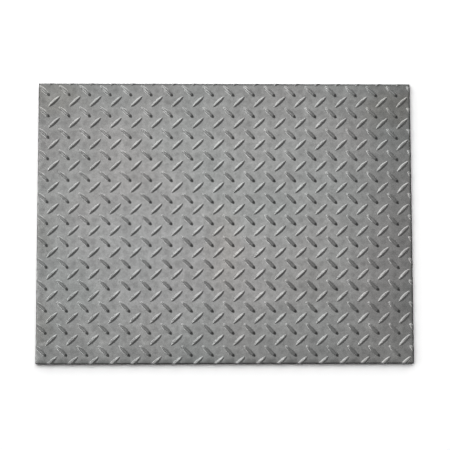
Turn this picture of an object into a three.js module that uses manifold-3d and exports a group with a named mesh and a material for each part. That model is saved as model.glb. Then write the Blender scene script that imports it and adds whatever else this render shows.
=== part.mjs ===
// Rolled steel floor plate with raised lugs, sheared to a 24 in by 18 in piece.
//
// Units are millimetres and +Z is up. The origin is the middle of the underside,
// +X runs along the long side and the lugs stand up on the top face. The plate is
// one piece of steel: the lugs are pressed up out of it between the rolls.

import * as THREE from 'three';
import { ConvexGeometry } from 'three/addons/geometries/ConvexGeometry.js';
import { mergeGeometries, mergeVertices } from 'three/addons/utils/BufferGeometryUtils.js';
import Module from 'manifold-3d';

const INCH = 25.4;

// The piece as it was cut
const PLATE_LENGTH = 24 * INCH;
const PLATE_WIDTH = 18 * INCH;
const PLATE_THICKNESS = INCH / 4;

// Sheared edge: the blade draws the top surface down before it cuts
const ROLLOVER_WIDTH = 2.2;
const ROLLOVER_DEPTH = 1;
const ROLLOVER_STEPS = 1;

// One lug: a long boat-shaped pad with blunt ends, steep flanks and a crowned top
const LUG_LENGTH = 25.4;
const LUG_WIDTH = 6.5;
const LUG_HEIGHT = 1.7;
const LUG_CROWN = 0.3;
const LUG_TOP_LENGTH = 18.6;
const LUG_TOP_WIDTH = 3.4;
const LUG_ROOT = 1.3;
const LUG_SIDES = 8;
const LUG_TOP_SIDES = 4;

// Lugs lean one way in one family and the other way in the second, which sits
// half a pitch along and half a pitch down from the first
const LUG_LEAN = THREE.MathUtils.degToRad(43.2);
const PITCH_X = 33.57;
const PITCH_Y = 35.35;
const FIRST_LUG_X = -11.6;
const FIRST_LUG_Y = 21.8;

// The shears never fall quite square to the rolled pattern
const PATTERN_TURN = THREE.MathUtils.degToRad(-0.1);

// A lug that the shears leave less than this much of is not there at all
const SMALLEST_STUB = 1;

const wasm = await Module();
wasm.setup();

// A closed three.js geometry as a solid that can be joined and cut
function solidFrom(geometry) {
  const bare = geometry.clone();
  bare.deleteAttribute('normal');
  bare.deleteAttribute('uv');
  const merged = mergeVertices(bare, 1e-5);
  return new wasm.Manifold(new wasm.Mesh({
    numProp: 3,
    vertProperties: merged.attributes.position.array,
    triVerts: merged.index.array,
  }));
}

// The solid back as a three.js geometry
function geometryFrom(solid) {
  const mesh = solid.getMesh();
  const geometry = new THREE.BufferGeometry();
  geometry.setAttribute('position', new THREE.BufferAttribute(mesh.vertProperties, 3));
  geometry.setIndex(new THREE.BufferAttribute(mesh.triVerts, 1));
  geometry.computeVertexNormals();
  return geometry;
}

// The web between the lugs: a rectangle raised to the plate's thickness, with its
// top edges rolled over. The same rounding below the underside is cut away later.
function webGeometry() {
  const halfLength = PLATE_LENGTH / 2 - ROLLOVER_WIDTH;
  const halfWidth = PLATE_WIDTH / 2 - ROLLOVER_WIDTH;
  const outline = new THREE.Shape([
    new THREE.Vector2(-halfLength, -halfWidth),
    new THREE.Vector2(halfLength, -halfWidth),
    new THREE.Vector2(halfLength, halfWidth),
    new THREE.Vector2(-halfLength, halfWidth),
  ]);
  const web = new THREE.ExtrudeGeometry(outline, {
    depth: PLATE_THICKNESS,
    bevelThickness: ROLLOVER_DEPTH,
    bevelSize: ROLLOVER_WIDTH,
    bevelSegments: ROLLOVER_STEPS,
  });
  return web.translate(0, 0, -ROLLOVER_DEPTH);
}

// Points of an ellipse drawn with straight sides, starting half a turn-step round
// when the ends are to be blunt
function ellipsePoints(length, width, sides, height, blunt) {
  const step = 2 * Math.PI / sides;
  const start = blunt ? step / 2 : 0;
  const reach = blunt ? 1 / Math.cos(step / 2) : 1;
  const points = [];
  for (let side = 0; side < sides; side++) {
    const angle = start + side * step;
    const x = 0.5 * length * reach * Math.cos(angle);
    const y = 0.5 * width * reach * Math.sin(angle);
    points.push(new THREE.Vector3(x, y, height));
  }
  return points;
}

// One lug along X, with its root sunk in the web so that the two fuse
function lugGeometry() {
  const foot = PLATE_THICKNESS;
  const root = ellipsePoints(LUG_LENGTH, LUG_WIDTH, LUG_SIDES, foot - LUG_ROOT, true);
  const base = ellipsePoints(LUG_LENGTH, LUG_WIDTH, LUG_SIDES, foot, true);
  const top = ellipsePoints(LUG_TOP_LENGTH, LUG_TOP_WIDTH, LUG_TOP_SIDES, foot + LUG_HEIGHT, false);
  for (const point of top) {
    const alongTop = 2 * point.x / LUG_TOP_LENGTH;
    point.z -= LUG_CROWN * alongTop * alongTop;
  }
  return new ConvexGeometry([...root, ...base, ...top]);
}

// Centres and leans of every lug that the cut piece still carries
function lugPlaces() {
  const reachX = PLATE_LENGTH / 2 + 0.5 * LUG_LENGTH * Math.cos(LUG_LEAN) - SMALLEST_STUB;
  const reachY = PLATE_WIDTH / 2 + 0.5 * LUG_LENGTH * Math.sin(LUG_LEAN) - SMALLEST_STUB;
  const columns = Math.ceil(reachX / PITCH_X) + 1;
  const rows = Math.ceil(reachY / PITCH_Y) + 1;
  const places = [];
  for (const family of [0, 1]) {
    const lean = family === 0 ? LUG_LEAN : -LUG_LEAN;
    for (let column = -columns; column <= columns; column++) {
      for (let row = -rows; row <= rows; row++) {
        const x = FIRST_LUG_X + (column + family / 2) * PITCH_X;
        const y = FIRST_LUG_Y + (row - family / 2) * PITCH_Y;
        if (Math.abs(x) < reachX && Math.abs(y) < reachY) {
          places.push({ x, y, lean });
        }
      }
    }
  }
  return places;
}

// All the lugs as one geometry; none touches another
function lugFieldGeometry() {
  const lug = lugGeometry();
  const field = lugPlaces().map(({ x, y, lean }) => lug.clone().rotateZ(lean).translate(x, y, 0));
  return mergeGeometries(field).rotateZ(PATTERN_TURN);
}

// The block of space inside the four shear cuts, from the underside up
function cutOutlineGeometry() {
  const height = 2 * (PLATE_THICKNESS + LUG_HEIGHT);
  const block = new THREE.BoxGeometry(PLATE_LENGTH, PLATE_WIDTH, height);
  return block.translate(0, 0, height / 2);
}

// The lugs fuse with the web, and the shears cut both flush
function checkerPlateGeometry() {
  const rolled = solidFrom(webGeometry()).add(solidFrom(lugFieldGeometry()));
  return geometryFrom(rolled.intersect(solidFrom(cutOutlineGeometry())));
}

const hotRolledSteel = new THREE.MeshStandardMaterial({
  color: 0x9a9b99,
  roughness: 0.45,
  metalness: 1,
});

const checkerPlate = new THREE.Mesh(checkerPlateGeometry(), hotRolledSteel);
checkerPlate.name = 'checker_plate';

const part = new THREE.Group();
part.add(checkerPlate);

export default part;
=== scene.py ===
# %% [markdown]
# # A piece of steel checker plate
#
# Checker plate is hot-rolled steel floor plate. One of the rolls in the mill has
# pockets cut in it, and the hot steel fills them, so the lugs on the top face grow
# out of the sheet and are one piece with it. This piece has been sheared to 24 by
# 18 inches from quarter-inch plate and lies flat on a pale floor.
#
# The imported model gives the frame: the same plate with its lugs, in metres, with the
# origin under its middle. Here it gets a finer surface, its finish, a floor, light
# and a camera.

import math

import bmesh
import bpy
from mathutils import Matrix, Vector


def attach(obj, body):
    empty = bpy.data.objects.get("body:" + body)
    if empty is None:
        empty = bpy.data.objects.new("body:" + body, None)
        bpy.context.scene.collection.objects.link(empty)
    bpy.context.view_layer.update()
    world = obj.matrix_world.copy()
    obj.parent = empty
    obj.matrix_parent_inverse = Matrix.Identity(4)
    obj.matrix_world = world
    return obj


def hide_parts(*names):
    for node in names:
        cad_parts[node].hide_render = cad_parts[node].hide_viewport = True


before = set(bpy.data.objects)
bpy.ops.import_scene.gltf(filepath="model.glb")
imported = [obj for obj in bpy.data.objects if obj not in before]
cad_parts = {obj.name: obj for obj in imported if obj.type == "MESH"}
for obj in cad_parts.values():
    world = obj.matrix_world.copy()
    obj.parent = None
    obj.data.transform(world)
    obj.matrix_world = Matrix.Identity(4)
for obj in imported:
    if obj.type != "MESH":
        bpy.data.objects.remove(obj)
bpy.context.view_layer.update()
scene = bpy.context.scene

MM = 0.001
INCH = 25.4 * MM
SAME_PLACE = 0.001 * MM   # points nearer than this are one point

# %% [markdown]
# ## The sizes of the rolled pattern
#
# Two families of lugs lean either way at 43 degrees. They share one lattice: the
# second family sits half a pitch along and half a pitch down from the first. The
# piece was cut anywhere in the pattern, so the first lug's place is a plain number,
# and the shears stood a tenth of a degree off square. The pitches, the lengths and
# the height are the CAD's own. A lug's foot is 0.8 mm wider here, and the pattern
# lies 0.7 mm further along. Both were measured finer after the CAD was made.

# %% Plate and pattern sizes
LENGTH = 24 * INCH
WIDTH = 18 * INCH
THICKNESS = INCH / 4

LUG_LENGTH = 25.4 * MM
LUG_WIDTH = 7.3 * MM
LUG_HEIGHT = 1.7 * MM
LUG_LEAN = math.radians(43.2)

PITCH_X = 33.57 * MM
PITCH_Y = 35.35 * MM
FIRST_LUG = Vector((-10.9 * MM, 21.7 * MM))
PATTERN_TURN = math.radians(-0.1)

reach_x = LENGTH / 2 + LUG_LENGTH / 2
reach_y = WIDTH / 2 + LUG_LENGTH / 2
print(f"lug reach past the cut: {1000 * reach_x:.1f} by {1000 * reach_y:.1f} mm")

# %% [markdown]
# ## One lug, built like a contour map
#
# A lug is a low boat-shaped pad. Its flanks stand at nearly 40 degrees and meet the
# web in a crisp corner, and its back rises more gently to a soft ridge. The ends are
# steeper than the flanks, so they are blunt. It could be a squashed sphere, but then
# its ends would be too sharp and its back too round. Contour lines are easier to
# control: each one is given by how much of the foot's width is left at that height,
# bridging the contours makes the skin, and the last one is drawn up to the ridge.
# Smooth shading rounds the back, but not across the foot. Sixty faces are enough,
# because there will be five hundred lugs.

# %% One lug
LUG_SIDES = 12
END_BLUNTNESS = 2.0
END_STEEPNESS = 0.2
CONTOURS = (   # share of the height, share of the width
    (0.22, 0.88),
    (0.44, 0.75),
    (0.68, 0.42),
    (0.91, 0.12),
)
RIDGE_SHARE = 0.8


def add_contour(bm, width_share, height):
    """A closed ring of edges: one contour line of the lug"""
    half_length = LUG_LENGTH / 2 * width_share ** END_STEEPNESS
    half_width = LUG_WIDTH / 2 * width_share
    turn = Matrix.Rotation(math.pi / LUG_SIDES, 4, "Z")
    ring = bmesh.ops.create_circle(bm, cap_ends=False, segments=LUG_SIDES, radius=1, matrix=turn)
    furthest = max(vert.co.x for vert in ring["verts"])
    for vert in ring["verts"]:
        along = (abs(vert.co.x) / furthest) ** (2 / END_BLUNTNESS)
        vert.co = (math.copysign(half_length * along, vert.co.x), half_width * vert.co.y, height)
    return list({edge for vert in ring["verts"] for edge in vert.link_edges})


def add_lug(bm):
    """One lug along X, with its foot at height 0"""
    foot = add_contour(bm, 1, 0)
    below = foot
    for height_share, width_share in CONTOURS:
        ring = add_contour(bm, width_share, LUG_HEIGHT * height_share)
        bmesh.ops.bridge_loops(bm, edges=below + ring)
        below = ring
    crest = bmesh.ops.extrude_edge_only(bm, edges=below)["geom"]
    ridge = [item for item in crest if isinstance(item, bmesh.types.BMVert)]
    for vert in ridge:
        vert.co = (vert.co.x * RIDGE_SHARE, 0, LUG_HEIGHT)
    bmesh.ops.remove_doubles(bm, verts=ridge, dist=SAME_PLACE)
    for edge in foot:
        edge.smooth = False


trial = bmesh.new()
add_lug(trial)
print("one lug:", len(trial.faces), "faces,", len(trial.verts), "points")
trial.free()

# %% [markdown]
# ## The field of lugs
#
# An Array modifier could repeat the lug, but the next step needs real edges to fill
# between. Bmesh has its own array: a spin through no angle that moves on by one pitch
# at each step. A row is spun from one lug, and the field from that row.

# %% Two families of lugs
def lattice_span(first, pitch, reach):
    """The first place inside the reach, and how many more follow it"""
    lowest = math.ceil((-reach - first) / pitch)
    highest = math.floor((reach - first) / pitch)
    return first + lowest * pitch, highest - lowest


def repeat(bm, step, times):
    """Copies of all that bm holds, each one step further on"""
    everything = bm.verts[:] + bm.edges[:] + bm.faces[:]
    bmesh.ops.spin(bm, geom=everything, dvec=step, steps=times, angle=0,
                   axis=(0, 0, 1), use_duplicate=True)


def lug_family(lean, shift):
    """A mesh with every lug of one family, laid out round the plate's middle"""
    start_x, more_columns = lattice_span(FIRST_LUG.x + shift * PITCH_X, PITCH_X, reach_x)
    start_y, more_rows = lattice_span(FIRST_LUG.y - shift * PITCH_Y, PITCH_Y, reach_y)
    bm = bmesh.new()
    add_lug(bm)
    bmesh.ops.rotate(bm, verts=bm.verts, matrix=Matrix.Rotation(lean, 3, "Z"))
    bmesh.ops.translate(bm, verts=bm.verts, vec=(start_x, start_y, 0))
    repeat(bm, (PITCH_X, 0, 0), more_columns)
    repeat(bm, (0, PITCH_Y, 0), more_rows)
    print("family:", more_columns + 1, "columns by", more_rows + 1, "rows")
    mesh = bpy.data.meshes.new("lug_family")
    bm.to_mesh(mesh)
    bm.free()
    return mesh


plate = bmesh.new()
for lean, shift in ((LUG_LEAN, 0), (-LUG_LEAN, 0.5)):
    family = lug_family(lean, shift)
    plate.from_mesh(family)
    bpy.data.meshes.remove(family)

# %% [markdown]
# ## The web between the lugs
#
# The web is flat, so it needs no grid of its own. A rectangle larger than the plate
# is drawn round all the lugs, and one fill closes everything between it and the feet
# of the lugs. The pattern is then turned by its tenth of a degree and lifted to the
# top of the plate.

# %% Fill the web
FIELD_MARGIN = 2 * LUG_LENGTH


def fill_open_edges(bm):
    """Faces between all the edges that have a free side"""
    free = [edge for edge in bm.edges if len(edge.link_faces) < 2]
    bmesh.ops.triangle_fill(bm, use_beauty=True, use_dissolve=False, edges=free)


border = Matrix.Diagonal((LENGTH / 2 + FIELD_MARGIN, WIDTH / 2 + FIELD_MARGIN, 1, 1))
sheet = bmesh.ops.create_grid(plate, x_segments=1, y_segments=1, size=1, matrix=border)
bmesh.ops.delete(plate, geom=sheet["verts"][0].link_faces[:], context="FACES_ONLY")
fill_open_edges(plate)
bmesh.ops.rotate(plate, verts=plate.verts, matrix=Matrix.Rotation(PATTERN_TURN, 3, "Z"))
bmesh.ops.translate(plate, verts=plate.verts, vec=(0, 0, THICKNESS))
print("sheet before the cuts:", len(plate.faces), "faces")

# %% [markdown]
# ## Shearing it to size
#
# Shears cut with one straight blow along each side. Bisecting with a plane does the
# same, and it cuts through any lug that stands in the way. The same tool then scores
# lines just inside the cut, without removing anything, so that there are points to
# bend: before it parts, the steel is drawn down beside the blade in a small round.
# The nearer a point is to the cut, the further it drops, lugs and all.

# %% Shear the sides and roll the edge over
ROLLOVER_WIDTH = 2.2 * MM
ROLLOVER_DEPTH = 1.0 * MM
SCORE_LINES = (2.2 * MM, 1.4 * MM, 0.8 * MM, 0.35 * MM, 0.1 * MM)
CORNER_NIP = 0.8 * MM
SIDES = (
    (Vector((1, 0, 0)), LENGTH / 2),
    (Vector((-1, 0, 0)), LENGTH / 2),
    (Vector((0, 1, 0)), WIDTH / 2),
    (Vector((0, -1, 0)), WIDTH / 2),
)


def cut(bm, outwards, distance, remove):
    """A straight cut across the whole plate, square to outwards"""
    everything = bm.verts[:] + bm.edges[:] + bm.faces[:]
    bmesh.ops.bisect_plane(bm, geom=everything, dist=SAME_PLACE, plane_co=outwards * distance,
                           plane_no=outwards, clear_outer=remove)


def rollover(inset):
    """How far the skin drops at this distance from a cut: a quarter of an ellipse"""
    into = max(0, 1 - inset / ROLLOVER_WIDTH)
    return ROLLOVER_DEPTH * (1 - math.sqrt(1 - into * into))


for outwards, distance in SIDES:
    cut(plate, outwards, distance, remove=True)
for outwards, distance in SIDES:
    for inset in SCORE_LINES:
        cut(plate, outwards, distance - inset, remove=False)
for x in (1, -1):
    for y in (1, -1):
        diagonal = Vector((x, y, 0)).normalized()
        corner = Vector((LENGTH / 2, WIDTH / 2))
        cut(plate, diagonal, (corner.x + corner.y - CORNER_NIP) / math.sqrt(2), remove=True)

for vert in plate.verts:
    inset_x = LENGTH / 2 - abs(vert.co.x)
    inset_y = WIDTH / 2 - abs(vert.co.y)
    vert.co.z -= rollover(max(0, inset_x)) + rollover(max(0, inset_y))
print("top face:", len(plate.faces), "faces")

# %% [markdown]
# ## The sheared sides and the underside
#
# A sheared side has two bands. The blade burnishes the upper part, which stays upright
# and smooth, and then the rest breaks away in a rough grey fracture that leans in a
# little under the plate. The open edge of the top face is extruded down in two steps
# to make them, and one more fill closes the underside.

# %% Sides and underside
BURNISH_BOTTOM = 3.9 * MM
FRACTURE_LEAN = 0.3 * MM
EDGE = 1   # the side faces' material, where the top and the underside have 0
FLAT_ANGLE = math.radians(3)
STEEL_DENSITY = 7850


def open_edges(bm):
    return [edge for edge in bm.edges if edge.is_boundary]


def extrude_sides(bm, height, inset):
    """The open edge carried down to this height, and in by inset"""
    made = bmesh.ops.extrude_edge_only(bm, edges=open_edges(bm))["geom"]
    shrink_x = 1 - 2 * inset / LENGTH
    shrink_y = 1 - 2 * inset / WIDTH
    for item in made:
        if isinstance(item, bmesh.types.BMVert):
            item.co = (item.co.x * shrink_x, item.co.y * shrink_y, height)
        if isinstance(item, bmesh.types.BMFace):
            item.material_index = EDGE


extrude_sides(plate, BURNISH_BOTTOM, 0)
extrude_sides(plate, 0, FRACTURE_LEAN)
fill_open_edges(plate)
bmesh.ops.recalc_face_normals(plate, faces=plate.faces)

for face in plate.faces:
    face.smooth = True
for edge in plate.edges:
    is_side = any(face.material_index == EDGE for face in edge.link_faces)
    if is_side:
        edge.smooth = edge.calc_face_angle(0) < FLAT_ANGLE

loose = [edge for edge in plate.edges if not edge.is_manifold]
triangles = sum(len(face.verts) - 2 for face in plate.faces)
print("plate:", triangles, "triangles,", len(loose), "open edges,",
      f"{plate.calc_volume() * STEEL_DENSITY:.2f} kg")

# %% [markdown]
# ## Colours and nodes
#
# Three helpers serve every material below. Colours are written as sRGB hex values, as
# on a colour card, and a shader wants them linear. One function adds a node, sets it
# up and links it, so that a material reads from top to bottom like a recipe. Inputs
# go by name, or by number where names repeat: a Mix node takes its share at 0 and its
# colours at 6 and 7, and gives a colour back at 2. The third starts an empty material.

# %% Material helpers
def linear(code):
    """An sRGB hex colour as the linear values that shaders use"""
    channels = [int(code[i:i + 2], 16) / 255 for i in (1, 3, 5)]
    curve = [c / 12.92 if c <= 0.04045 else ((c + 0.055) / 1.055) ** 2.4 for c in channels]
    return (*curve, 1)


def add_node(tree, kind, inputs=None, **settings):
    """A node with its settings, and each input given a value or a link"""
    node = tree.nodes.new(kind)
    for name, value in settings.items():
        setattr(node, name, value)
    for name, value in (inputs or {}).items():
        if isinstance(value, bpy.types.NodeSocket):
            tree.links.new(value, node.inputs[name])
        else:
            node.inputs[name].default_value = value
    return node


def start_material(name):
    """An empty material and its node tree"""
    material = bpy.data.materials.new(name)
    material.use_nodes = True
    material.node_tree.nodes.clear()
    return material, material.node_tree


print("mid grey #808080 is", round(linear("#808080")[0], 3), "linear")

# %% [markdown]
# ## Marks on the steel, and one patch of painted light
#
# Handling and storage leave marks on a stocked plate: a faint rust-coloured stain, a
# dry bloom, a few dull patches and small scuffs along the front. The paler front right
# corner is painted light. Each is a soft oval. A Mapping node of the Texture type moves
# the oval to its place and stretches it, and noise pushes the coordinates about first,
# so that no rim is smooth.

# %% Soft marks and a patch of painted light
WANDER = 26 * MM
CORE, RIM = 0.2, 1.2   # where a mark begins to fade and where it ends, in shares of its oval
MARKS_AND_PAINTED_LIGHT = (   # x, y, half width, half height in mm, colour, strength
    (-3, -45, 42, 88, "#a79a83", 0.12),
    (-95, -55, 190, 130, "#9d9c9d", 0.4),
    (-302, -20, 26, 50, "#8b8a86", 0.35),
    (-302, -165, 30, 44, "#8b8a86", 0.45),
    (-270, 205, 60, 34, "#9c978b", 0.2),
    (270, 190, 60, 45, "#8b8882", 0.45),
    (130, -95, 60, 55, "#8b8a88", 0.4),
    # painted light: the front right corner made paler
    (275, -208, 75, 60, "#b4b4b2", 0.65),
    (-290, -195, 14, 5, "#c0c0be", 0.6),
    (-196, -194, 9, 5, "#c0c0be", 0.5),
    (-128, -194, 8, 5, "#c0c0be", 0.4),
)


def mark_mask(tree, place, x, y, half_width, half_height):
    """1 in the middle of a soft oval on the top face, falling to 0 at its rim"""
    oval = add_node(tree, "ShaderNodeMapping",
                    {"Vector": place, "Location": (x, y, THICKNESS),
                     "Scale": (half_width, half_height, THICKNESS / 2)},
                    vector_type="TEXTURE").outputs["Vector"]
    out = add_node(tree, "ShaderNodeVectorMath", {0: oval}, operation="LENGTH").outputs["Value"]
    return add_node(tree, "ShaderNodeMapRange",
                    {"Value": out, "From Min": CORE, "From Max": RIM, "To Min": 1.0, "To Max": 0.0},
                    interpolation_type="SMOOTHSTEP").outputs["Result"]


def add_marks_and_painted_light(tree, place, colour):
    """The steel's colour with every mark and the painted light patch laid over it"""
    noise = add_node(tree, "ShaderNodeTexNoise", {"Vector": place, "Scale": 1 / WANDER,
                                                  "Detail": 3, "Roughness": 0.6})
    centred = add_node(tree, "ShaderNodeVectorMath",
                       {0: noise.outputs["Color"], 1: (0.5, 0.5, 0.5)},
                       operation="SUBTRACT").outputs["Vector"]
    for x, y, half_width, half_height, mark_colour, strength in MARKS_AND_PAINTED_LIGHT:
        reach = min(half_width, half_height) * MM
        pushed = add_node(tree, "ShaderNodeVectorMath",
                          {0: centred, 1: (2 * reach, 2 * reach, 0), 2: place},
                          operation="MULTIPLY_ADD").outputs["Vector"]
        mask = mark_mask(tree, pushed, x * MM, y * MM, half_width * MM, half_height * MM)
        share = add_node(tree, "ShaderNodeMath", {0: mask, 1: strength},
                         operation="MULTIPLY").outputs["Value"]
        colour = add_node(tree, "ShaderNodeMix", {0: share, 6: colour, 7: linear(mark_colour)},
                          data_type="RGBA").outputs[2]
    return colour


print(len(MARKS_AND_PAINTED_LIGHT), "marks on the top face")

# %% [markdown]
# ## Between the lugs
#
# At the open places, half way between the lugs, the steel is coloured a little darker.
# Two cosines that share the pattern's pitch are 1 at the lugs and -1 at the open places
# when they are multiplied, which costs no texture and never drifts.

# %% Darker open places
OPEN_PLACE_DARKENING = 0.12


def pattern_waves(tree, place, start):
    """Two cosines with the pattern's pitches, along and across, which are both 1 at start"""
    turned_start = Matrix.Rotation(PATTERN_TURN, 2) @ start
    in_pattern = add_node(tree, "ShaderNodeMapping",
                          {"Vector": place, "Location": (*turned_start, 0),
                           "Rotation": (0, 0, PATTERN_TURN),
                           "Scale": (PITCH_X / math.tau, PITCH_Y / math.tau, 1)},
                          vector_type="TEXTURE").outputs["Vector"]
    split = add_node(tree, "ShaderNodeSeparateXYZ", {"Vector": in_pattern})
    wave_x = add_node(tree, "ShaderNodeMath", {0: split.outputs["X"]}, operation="COSINE")
    wave_y = add_node(tree, "ShaderNodeMath", {0: split.outputs["Y"]}, operation="COSINE")
    return wave_x.outputs["Value"], wave_y.outputs["Value"]


def open_place_tone(tree, place):
    """A tone of 1 on and round the lugs, and a little less in the middle of an open place"""
    wave_x, wave_y = pattern_waves(tree, place, FIRST_LUG)
    nearness = add_node(tree, "ShaderNodeMath", {0: wave_x, 1: wave_y},
                        operation="MULTIPLY").outputs["Value"]
    return add_node(tree, "ShaderNodeMapRange",
                    {"Value": nearness, "From Min": -1.0, "From Max": -0.5,
                     "To Min": 1 - OPEN_PLACE_DARKENING, "To Max": 1.0},
                    interpolation_type="SMOOTHSTEP").outputs["Result"]


print(f"dull places {1000 * PITCH_X:.1f} by {1000 * PITCH_Y:.1f} mm apart")

# %% [markdown]
# ## Painted shade at the ends of the lugs
#
# The lugs that lean to the left get a dark spot painted on their front right end. It is
# painted shade, where that steep end faces the dim front of the room. The same two
# cosines serve again: added, they reach their top at one point in each cell of the
# pattern, and that point is put on the end of the lug.

# %% Painted shade at the ends of the lugs
SHADE_SPOT_ALONG = 9.6 * MM
SHADE_SPOT_RADIUS = 3.2 * MM
SHADE_SPOT_DARKNESS = 0.6


def lug_end_painted_shade(tree, place):
    """A tone of 1 nearly everywhere and much less, as painted shade, on the front end of each
    left-leaning lug
    """
    second_lug = FIRST_LUG + Vector((PITCH_X, -PITCH_Y)) / 2
    lug_direction = Matrix.Rotation(-LUG_LEAN, 2) @ Vector((1, 0))
    wave_x, wave_y = pattern_waves(tree, place, second_lug + SHADE_SPOT_ALONG * lug_direction)
    nearness = add_node(tree, "ShaderNodeMath", {0: wave_x, 1: wave_y}, operation="ADD")
    at_rim = 1 + math.cos(math.tau * SHADE_SPOT_RADIUS / PITCH_X)
    return add_node(tree, "ShaderNodeMapRange",
                    {"Value": nearness.outputs["Value"], "From Min": at_rim, "From Max": 2.0,
                     "To Min": 1.0, "To Max": 1 - SHADE_SPOT_DARKNESS},
                    interpolation_type="SMOOTHSTEP").outputs["Result"]


# The spots are painted shade on the lug ends.
print(f"oil spots {2000 * SHADE_SPOT_RADIUS:.1f} mm across")

# %% [markdown]
# ## The rim: oil and painted shade
#
# Oil and dust gather on the rolled-over rim, and the broken scale there is darker than
# the face. The darkening is partly that and partly painted shade: the front and the
# right rim, which face away from the light, are painted darkest, down to black at the
# cut. A dot product gives how far a point lies towards each cut, and the last two
# millimetres before it are toned down.

# %% Dark rim, oil and painted shade
RIM_WIDTH = 2.3 * MM
RIM_OIL_AND_SHADE = (1.0, 0.92, 0.7, 1.0)   # right, left, back and front, in the order of SIDES


def rim_oil_and_shade_tone(tree, place):
    """A tone of 1 on the face that falls off, for oil and painted shade, over the last two
    millimetres before each cut
    """
    tone = 1.0
    for (outwards, distance), darkness in zip(SIDES, RIM_OIL_AND_SHADE):
        reach = add_node(tree, "ShaderNodeVectorMath", {0: place, 1: outwards},
                         operation="DOT_PRODUCT").outputs["Value"]
        side_oil_and_shade = add_node(tree, "ShaderNodeMapRange",
                             {"Value": reach, "From Min": distance - RIM_WIDTH,
                              "From Max": distance, "To Min": 1.0,
                              "To Max": 1 - darkness}).outputs["Result"]
        tone = add_node(tree, "ShaderNodeMath", {0: tone, 1: side_oil_and_shade},
                        operation="MULTIPLY").outputs["Value"]
    return tone


print(f"rim {1000 * RIM_WIDTH:.1f} mm wide")

# %% [markdown]
# ## Lighter backs: wear and painted highlight
#
# The lugs take all the rubbing in the mill and in the rack, and their backs are painted
# a shade lighter than the web, partly for that wear and partly as a painted highlight.
# Only height tells them apart, and it is enough.

# %% Lighter backs of the lugs, wear and painted highlight
LIGHTER_BACK_FROM = THICKNESS + 0.2 * MM
LIGHTER_BACK_FULLY = THICKNESS + 0.7 * MM
BACK_WEAR_AND_HIGHLIGHT = 0.06


def rubbed_and_highlit_tone(tree, place):
    """A tone of 1 on the web and a little more on the backs of the lugs, for wear and a painted
    highlight
    """
    height = add_node(tree, "ShaderNodeSeparateXYZ", {"Vector": place}).outputs["Z"]
    return add_node(tree, "ShaderNodeMapRange",
                    {"Value": height, "From Min": LIGHTER_BACK_FROM, "From Max": LIGHTER_BACK_FULLY,
                     "To Min": 1.0, "To Max": 1 + BACK_WEAR_AND_HIGHLIGHT}).outputs["Result"]


print(f"lug backs {100 * BACK_WEAR_AND_HIGHLIGHT:.0f} percent lighter")

# %% [markdown]
# ## Hot-rolled mill finish
#
# This is low-carbon steel as it leaves the hot mill: a thin, tight, blue-grey oxide
# that the rolls have polished, neither bright nor rusty. To the eye it is a half-matt
# metal, mottled at every scale from a grain of sand to a thumb's width, with a hint of
# warm and cool patches. One fractal noise gives the whole range of mottling, because
# its octaves halve in size while they keep nearly all their strength. The marks and
# the four tones above are laid over it. The real grit is a few hundredths of a
# millimetre across. It is drawn at 1.5 mm, which the picture can still show, and it
# is very shallow.

# %% Hot-rolled mill finish
MOTTLE_SIZE = 20 * MM
MOTTLE_CHANGE = 1.05
TINT_SIZE = 190 * MM
POLISH_SIZE = MOTTLE_SIZE / 3
GRIT_SIZE = 1.5 * MM
GRIT_DEPTH = 0.012 * MM
ROUGHNESS_SMOOTH = 0.19
ROUGHNESS_ROUGH = 0.25
COOL_STEEL, WARM_STEEL = "#999b9a", "#9c9b9a"


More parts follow.
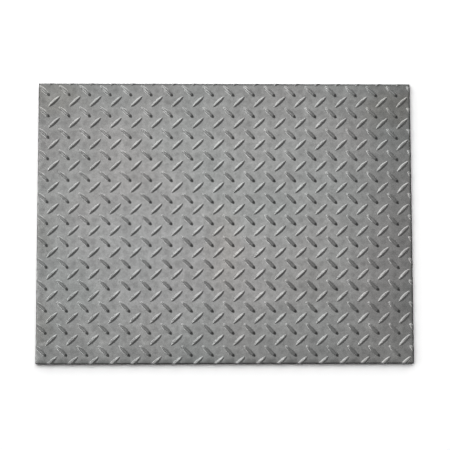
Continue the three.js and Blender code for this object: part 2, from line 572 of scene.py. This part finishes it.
def hot_rolled_steel():
    material, tree = start_material("hot_rolled_mill_finish")
    place = add_node(tree, "ShaderNodeTexCoord").outputs["Object"]

    tint = add_node(tree, "ShaderNodeTexNoise", {"Vector": place, "Scale": 1 / TINT_SIZE,
                                                 "Detail": 2, "Roughness": 0.5}).outputs["Fac"]
    warmth = add_node(tree, "ShaderNodeMapRange", {"Value": tint, "From Min": 0.35,
                                                   "From Max": 0.65}).outputs["Result"]
    colour = add_node(tree, "ShaderNodeMix", {0: warmth, 6: linear(COOL_STEEL),
                                              7: linear(WARM_STEEL)},
                      data_type="RGBA").outputs[2]
    colour = add_marks_and_painted_light(tree, place, colour)

    mottle = add_node(tree, "ShaderNodeTexNoise", {"Vector": place, "Scale": 1 / MOTTLE_SIZE,
                                                   "Detail": 4, "Roughness": 0.9}).outputs["Fac"]
    tone = add_node(tree, "ShaderNodeMapRange",
                    {"Value": mottle, "From Min": 0.0, "From Max": 1.0,
                     "To Min": 1 - MOTTLE_CHANGE / 2, "To Max": 1 + MOTTLE_CHANGE / 2},
                    clamp=False).outputs["Result"]
    # Of these tones, the rim and the lug ends hold painted shade, and the lug backs a painted
    # highlight.
    for local_tone in (open_place_tone, lug_end_painted_shade, rim_oil_and_shade_tone, rubbed_and_highlit_tone):
        tone = add_node(tree, "ShaderNodeMath", {0: tone, 1: local_tone(tree, place)},
                        operation="MULTIPLY").outputs["Value"]
    steel = add_node(tree, "ShaderNodeVectorMath", {0: colour, "Scale": tone}, operation="SCALE")

    polish = add_node(tree, "ShaderNodeTexNoise", {"Vector": place, "Scale": 1 / POLISH_SIZE,
                                                   "Detail": 3, "Roughness": 0.6}).outputs["Fac"]
    roughness = add_node(tree, "ShaderNodeMapRange",
                         {"Value": polish, "From Min": 0.3, "From Max": 0.7,
                          "To Min": ROUGHNESS_SMOOTH, "To Max": ROUGHNESS_ROUGH}).outputs["Result"]
    grit = add_node(tree, "ShaderNodeTexNoise", {"Vector": place, "Scale": 1 / GRIT_SIZE,
                                                 "Detail": 2, "Roughness": 0.6}).outputs["Fac"]
    bump = add_node(tree, "ShaderNodeBump", {"Height": grit, "Strength": 1.0,
                                             "Distance": GRIT_DEPTH}).outputs["Normal"]
    surface = add_node(tree, "ShaderNodeBsdfPrincipled",
                       {"Base Color": steel.outputs["Vector"], "Metallic": 1,
                        "Roughness": roughness, "Normal": bump})
    add_node(tree, "ShaderNodeOutputMaterial", {"Surface": surface.outputs["BSDF"]})
    return material


mill_finish = hot_rolled_steel()
print(mill_finish.name, "has", len(mill_finish.node_tree.nodes), "nodes")

# %% [markdown]
# ## Sheared edge
#
# A sheared side has lost its mill scale. Under the rolled-over rim runs the burnished
# band, rubbed smooth by the blade and drawn with fine upright scratches. Below it the
# steel tore: a darker, granular fracture that scatters light. Both have dulled in the
# rack since they were cut, so neither is bright. The line between the two wavers, so
# noise along the edge lifts and lowers it. The scratches are a noise stretched upright,
# by giving it coordinates that change slowly in height.

# %% Sheared edge
SCRATCH_WIDTH, SCRATCH_LENGTH, SCRATCH_DEPTH = 0.5 * MM, 8 * MM, 0.04 * MM
GRAIN_SIZE, GRAIN_DEPTH = 0.9 * MM, 0.35 * MM
TEAR_WAVER, WAVER_LENGTH, TEAR_BLUR = 1.2 * MM, 9 * MM, 0.15 * MM
SCRATCH_DARK, SCRATCH_LIGHT = "#5b5b59", "#7c7b78"
GRAIN_DARK, GRAIN_LIGHT = "#3b3a38", "#5e5c59"
GRAIN_ROUGHNESS, SCRATCH_ROUGHNESS = 0.6, 0.32


def sheared_steel():
    material, tree = start_material("sheared_edge")
    place = add_node(tree, "ShaderNodeTexCoord").outputs["Object"]
    height = add_node(tree, "ShaderNodeSeparateXYZ", {"Vector": place}).outputs["Z"]

    waver = add_node(tree, "ShaderNodeTexNoise", {"Vector": place, "Scale": 1 / WAVER_LENGTH,
                                                  "Detail": 3, "Roughness": 0.6}).outputs["Fac"]
    wavering = add_node(tree, "ShaderNodeMath", {0: waver, 1: TEAR_WAVER, 2: height},
                        operation="MULTIPLY_ADD").outputs["Value"]
    tear_line = BURNISH_BOTTOM + TEAR_WAVER / 2
    burnished = add_node(tree, "ShaderNodeMapRange",
                         {"Value": wavering, "From Min": tear_line - TEAR_BLUR,
                          "From Max": tear_line + TEAR_BLUR}).outputs["Result"]

    upright = add_node(tree, "ShaderNodeMapping",
                       {"Vector": place, "Scale": (1 / SCRATCH_WIDTH, 1 / SCRATCH_WIDTH,
                                                   1 / SCRATCH_LENGTH)}).outputs["Vector"]
    scratches = add_node(tree, "ShaderNodeTexNoise", {"Vector": upright, "Scale": 1.0,
                                                      "Detail": 2}).outputs["Fac"]
    grains = add_node(tree, "ShaderNodeTexNoise", {"Vector": place, "Scale": 1 / GRAIN_SIZE,
                                                   "Detail": 4, "Roughness": 0.7}).outputs["Fac"]
    relief = add_node(tree, "ShaderNodeMix", {"Factor": burnished, "A": grains, "B": scratches},
                      data_type="FLOAT").outputs["Result"]
    depth = add_node(tree, "ShaderNodeMapRange", {"Value": burnished, "To Min": GRAIN_DEPTH,
                                                  "To Max": SCRATCH_DEPTH}).outputs["Result"]
    bump = add_node(tree, "ShaderNodeBump", {"Height": relief, "Distance": depth}).outputs["Normal"]

    rubbed = add_node(tree, "ShaderNodeMix", {0: scratches, 6: linear(SCRATCH_DARK),
                                              7: linear(SCRATCH_LIGHT)}, data_type="RGBA")
    torn = add_node(tree, "ShaderNodeMix", {0: grains, 6: linear(GRAIN_DARK),
                                            7: linear(GRAIN_LIGHT)}, data_type="RGBA")
    colour = add_node(tree, "ShaderNodeMix", {0: burnished, 6: torn.outputs[2],
                                              7: rubbed.outputs[2]}, data_type="RGBA").outputs[2]
    roughness = add_node(tree, "ShaderNodeMapRange",
                         {"Value": burnished, "To Min": GRAIN_ROUGHNESS,
                          "To Max": SCRATCH_ROUGHNESS}).outputs["Result"]
    surface = add_node(tree, "ShaderNodeBsdfPrincipled",
                       {"Base Color": colour, "Metallic": 1,
                        "Roughness": roughness, "Normal": bump})
    add_node(tree, "ShaderNodeOutputMaterial", {"Surface": surface.outputs["BSDF"]})
    return material


bare_edge = sheared_steel()
print(bare_edge.name, "has", len(bare_edge.node_tree.nodes), "nodes")

# %% [markdown]
# ## The plate as an object
#
# The finished piece takes the CAD node's place, rides on the plate's one body and
# takes the hot-rolled mill finish as its first material. The sides carry the
# second material, which the extrusion numbered 1.

# %% Make the plate object
def make_object(name, bm, materials=()):
    """An object at the origin with its place in its mesh"""
    mesh = bpy.data.meshes.new(name)
    bm.to_mesh(mesh)
    bm.free()
    for material in materials:
        mesh.materials.append(material)
    made = bpy.data.objects.new(name, mesh)
    scene.collection.objects.link(made)
    return made


steel_plate = make_object("steel_checker_plate", plate, [mill_finish, bare_edge])
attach(steel_plate, "root")
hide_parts("checker_plate")
print("plate object:", len(steel_plate.data.polygons), "faces")

# %% [markdown]
# ## Pale floor
#
# The plate lies on white paper. To a ray that carries light on, the paper is an
# ordinary white with a reflectance of 0.93. To the camera, and to rays mirrored in
# metal or glass, it is whiter than that, so that it shows as pure white wherever the
# plate's shadow does not fall. Beyond half a metre it turns into a plain even white
# for those same rays. The rays that carry light to matt things see none of this.

# %% Floor
FLOOR_SIZE = 20
FLOOR_REFLECTANCE = 0.93
FLOOR_WHITE = 1.5
PAPER_REACH, PLAIN_FROM = 0.5, 1.0   # metres from the middle, with a soft change between
floor_mesh = bmesh.new()
bmesh.ops.create_grid(floor_mesh, x_segments=1, y_segments=1, size=FLOOR_SIZE)


def seen_rays(tree):
    """Two values: 1 for a camera ray, and 1 for a ray mirrored in metal or glass"""
    ray = add_node(tree, "ShaderNodeLightPath")
    mirrored = add_node(tree, "ShaderNodeMath",
                        {0: ray.outputs["Is Glossy Ray"], 1: ray.outputs["Is Transmission Ray"]},
                        operation="ADD")
    return ray.outputs["Is Camera Ray"], mirrored.outputs["Value"]


def pale_floor():
    material, tree = start_material("white_paper_floor")
    camera_ray, mirror_ray = seen_rays(tree)
    seen = add_node(tree, "ShaderNodeMath", {0: camera_ray, 1: mirror_ray}, operation="ADD",
                    use_clamp=True).outputs["Value"]
    white = add_node(tree, "ShaderNodeMix",
                     {"Factor": seen, "A": FLOOR_REFLECTANCE, "B": FLOOR_WHITE},
                     data_type="FLOAT").outputs["Result"]
    paper = add_node(tree, "ShaderNodeBsdfDiffuse", {"Color": white})
    place = add_node(tree, "ShaderNodeTexCoord").outputs["Object"]
    away = add_node(tree, "ShaderNodeVectorMath", {0: place}, operation="LENGTH").outputs["Value"]
    far = add_node(tree, "ShaderNodeMapRange", {"Value": away, "From Min": PAPER_REACH,
                                                "From Max": PLAIN_FROM})
    plain = add_node(tree, "ShaderNodeMath", {0: far.outputs["Result"], 1: seen},
                     operation="MULTIPLY").outputs["Value"]
    glow = add_node(tree, "ShaderNodeEmission", {"Strength": 1.0})
    surface = add_node(tree, "ShaderNodeMixShader", {0: plain, 1: paper.outputs["BSDF"],
                                                     2: glow.outputs["Emission"]})
    add_node(tree, "ShaderNodeOutputMaterial", {"Surface": surface.outputs["Shader"]})
    return material


floor = make_object("floor", floor_mesh, [pale_floor()])
print(floor.name, "reaches", FLOOR_SIZE, "m each way")

# %% [markdown]
# ## A room with a bright side
#
# Rolled steel shows its room more than its own colour, so the room needs a shape and
# not only a brightness. A dot product of each direction with the bright side's own
# direction tells how far it lies to that side, and a soft step from dim to bright
# follows it. Any room below is one call of this.

# %% A room with a bright side
def room(tree, way, azimuth, dim, bright, dim_to, bright_from):
    """The brightness of a room that is bright towards this azimuth and dim on the other side"""
    across = math.radians(azimuth)
    towards = add_node(tree, "ShaderNodeVectorMath",
                       {0: way, 1: (math.cos(across), math.sin(across), 0)},
                       operation="DOT_PRODUCT").outputs["Value"]
    return add_node(tree, "ShaderNodeMapRange",
                    {"Value": towards, "From Min": dim_to, "From Max": bright_from,
                     "To Min": dim, "To Max": bright},
                    interpolation_type="SMOOTHSTEP").outputs["Result"]


world = bpy.data.worlds.new("studio")
scene.world = world
world.use_nodes = True
studio = world.node_tree
studio.nodes.clear()
print("world:", world.name)

# %% [markdown]
# ## The rooms that metal, matt things and the camera see
#
# For metal the room is brighter behind the plate and to its left than in front of it,
# so the lugs get a light side and a dark side, and just above the floor a white
# backdrop rises behind. For matt things such as the floor the room is bright behind
# and dark in front, which gives the plate its short soft shadow along the front and
# the right side. The camera itself sees white.

# %% World
BACKDROP_FADE = (0.12, 0.18)   # heights of a direction: full white below one, none above the other

camera_ray, mirror_ray = seen_rays(studio)
way = add_node(studio, "ShaderNodeTexCoord").outputs["Generated"]
height = add_node(studio, "ShaderNodeSeparateXYZ", {"Vector": way}).outputs["Z"]
low = add_node(studio, "ShaderNodeMapRange",
               {"Value": height, "From Min": BACKDROP_FADE[0], "From Max": BACKDROP_FADE[1],
                "To Min": 1.0, "To Max": 0.0}).outputs["Result"]
behind = room(studio, way, 90, 0.0, 1.0, -0.5, 0.3)
backdrop = add_node(studio, "ShaderNodeMath", {0: low, 1: behind}, operation="MULTIPLY")
metal_room = room(studio, way, 141, 0.23, 0.49, -0.5, 0.3)
mirrored = add_node(studio, "ShaderNodeMix",
                    {"Factor": backdrop.outputs["Value"], "A": metal_room, "B": 1.0},
                    data_type="FLOAT").outputs["Result"]
matt_room = room(studio, way, 115, 0.0, 1.8, 0.0, 0.4)
light = add_node(studio, "ShaderNodeMix", {"Factor": mirror_ray, "A": matt_room, "B": mirrored},
                 data_type="FLOAT").outputs["Result"]
shown = add_node(studio, "ShaderNodeMix", {"Factor": camera_ray, "A": light, "B": 1.0},
                 data_type="FLOAT").outputs["Result"]
sky = add_node(studio, "ShaderNodeBackground", {"Color": shown})
add_node(studio, "ShaderNodeOutputWorld", {"Surface": sky.outputs["Background"]})
print("room:", len(studio.nodes), "nodes")

# %% [markdown]
# ## Softboxes
#
# Steel is lit by large soft lamps, whose images in it are broad and even. A key light
# stands high at the left behind the plate, one lamp hangs overhead, and a wide one
# stands low behind the plate, where only the flanks of the lugs show it. Three cards
# at the left add a glint to flanks and ends of the lugs. All but the key are for the
# metal alone and light no matt surface, because together they would wash out the
# shadow. Each lamp is set by the brightness that a mirror would show, from which its
# power follows.

# %% Lamps
def softbox(name, azimuth, elevation, distance, width, height, brightness):
    """A flat lamp that faces the plate's middle, as bright as a mirror would show it"""
    lamp = bpy.data.lights.new(name, "AREA")
    lamp.shape = "RECTANGLE"
    lamp.size = width
    lamp.size_y = height
    lamp.energy = brightness * math.pi * width * height
    across, up = math.radians(azimuth), math.radians(elevation)
    place = distance * Vector((math.cos(up) * math.cos(across), math.cos(up) * math.sin(across),
                               math.sin(up)))
    made = bpy.data.objects.new(name, lamp)
    made.location = place
    made.rotation_euler = (-place).to_track_quat("-Z", "Y").to_euler()
    made.visible_camera = False
    scene.collection.objects.link(made)
    return made


# name, azimuth, elevation in degrees, distance, width, height in metres, brightness
softbox("key", 128, 46, 2.6, 1.02, 0.87, 1.37)
for metal_lamp in (softbox("overhead", 92, 84.5, 2.4, 1.29, 1.1, 0.68),
                   softbox("back", 99, 18.4, 2.6, 3.78, 1.6, 1.4),
                   softbox("low_card", 163, 14, 2.6, 2.38, 0.5, 3.2),
                   softbox("side_card", 179, 57, 2.4, 1.0, 0.83, 2.27),
                   softbox("corner_card", 216, 14, 2.6, 1.49, 0.52, 2.55)):
    metal_lamp.visible_diffuse = False

# %% [markdown]
# ## Camera
#
# The camera looks down from 1.7 m, less than five degrees off the vertical, through a
# long lens. Nothing is out of focus. The Standard view shows colours as written.

# %% Camera
CAMERA_PLACE = Vector((-31.93, -145.49, 1726.65)) * MM
CAMERA_TILT = (4.692, -1.050, -0.093)
FOCAL_LENGTH, SENSOR_WIDTH = 84.96, 36

lens = bpy.data.cameras.new("camera")
lens.lens = FOCAL_LENGTH
lens.sensor_width = SENSOR_WIDTH
camera = bpy.data.objects.new("camera", lens)
camera.location = CAMERA_PLACE
camera.rotation_euler = [math.radians(angle) for angle in CAMERA_TILT]
scene.collection.objects.link(camera)
scene.camera = camera
scene.view_settings.view_transform = "Standard"
print(f"camera {CAMERA_PLACE.length:.2f} m from the plate's middle")
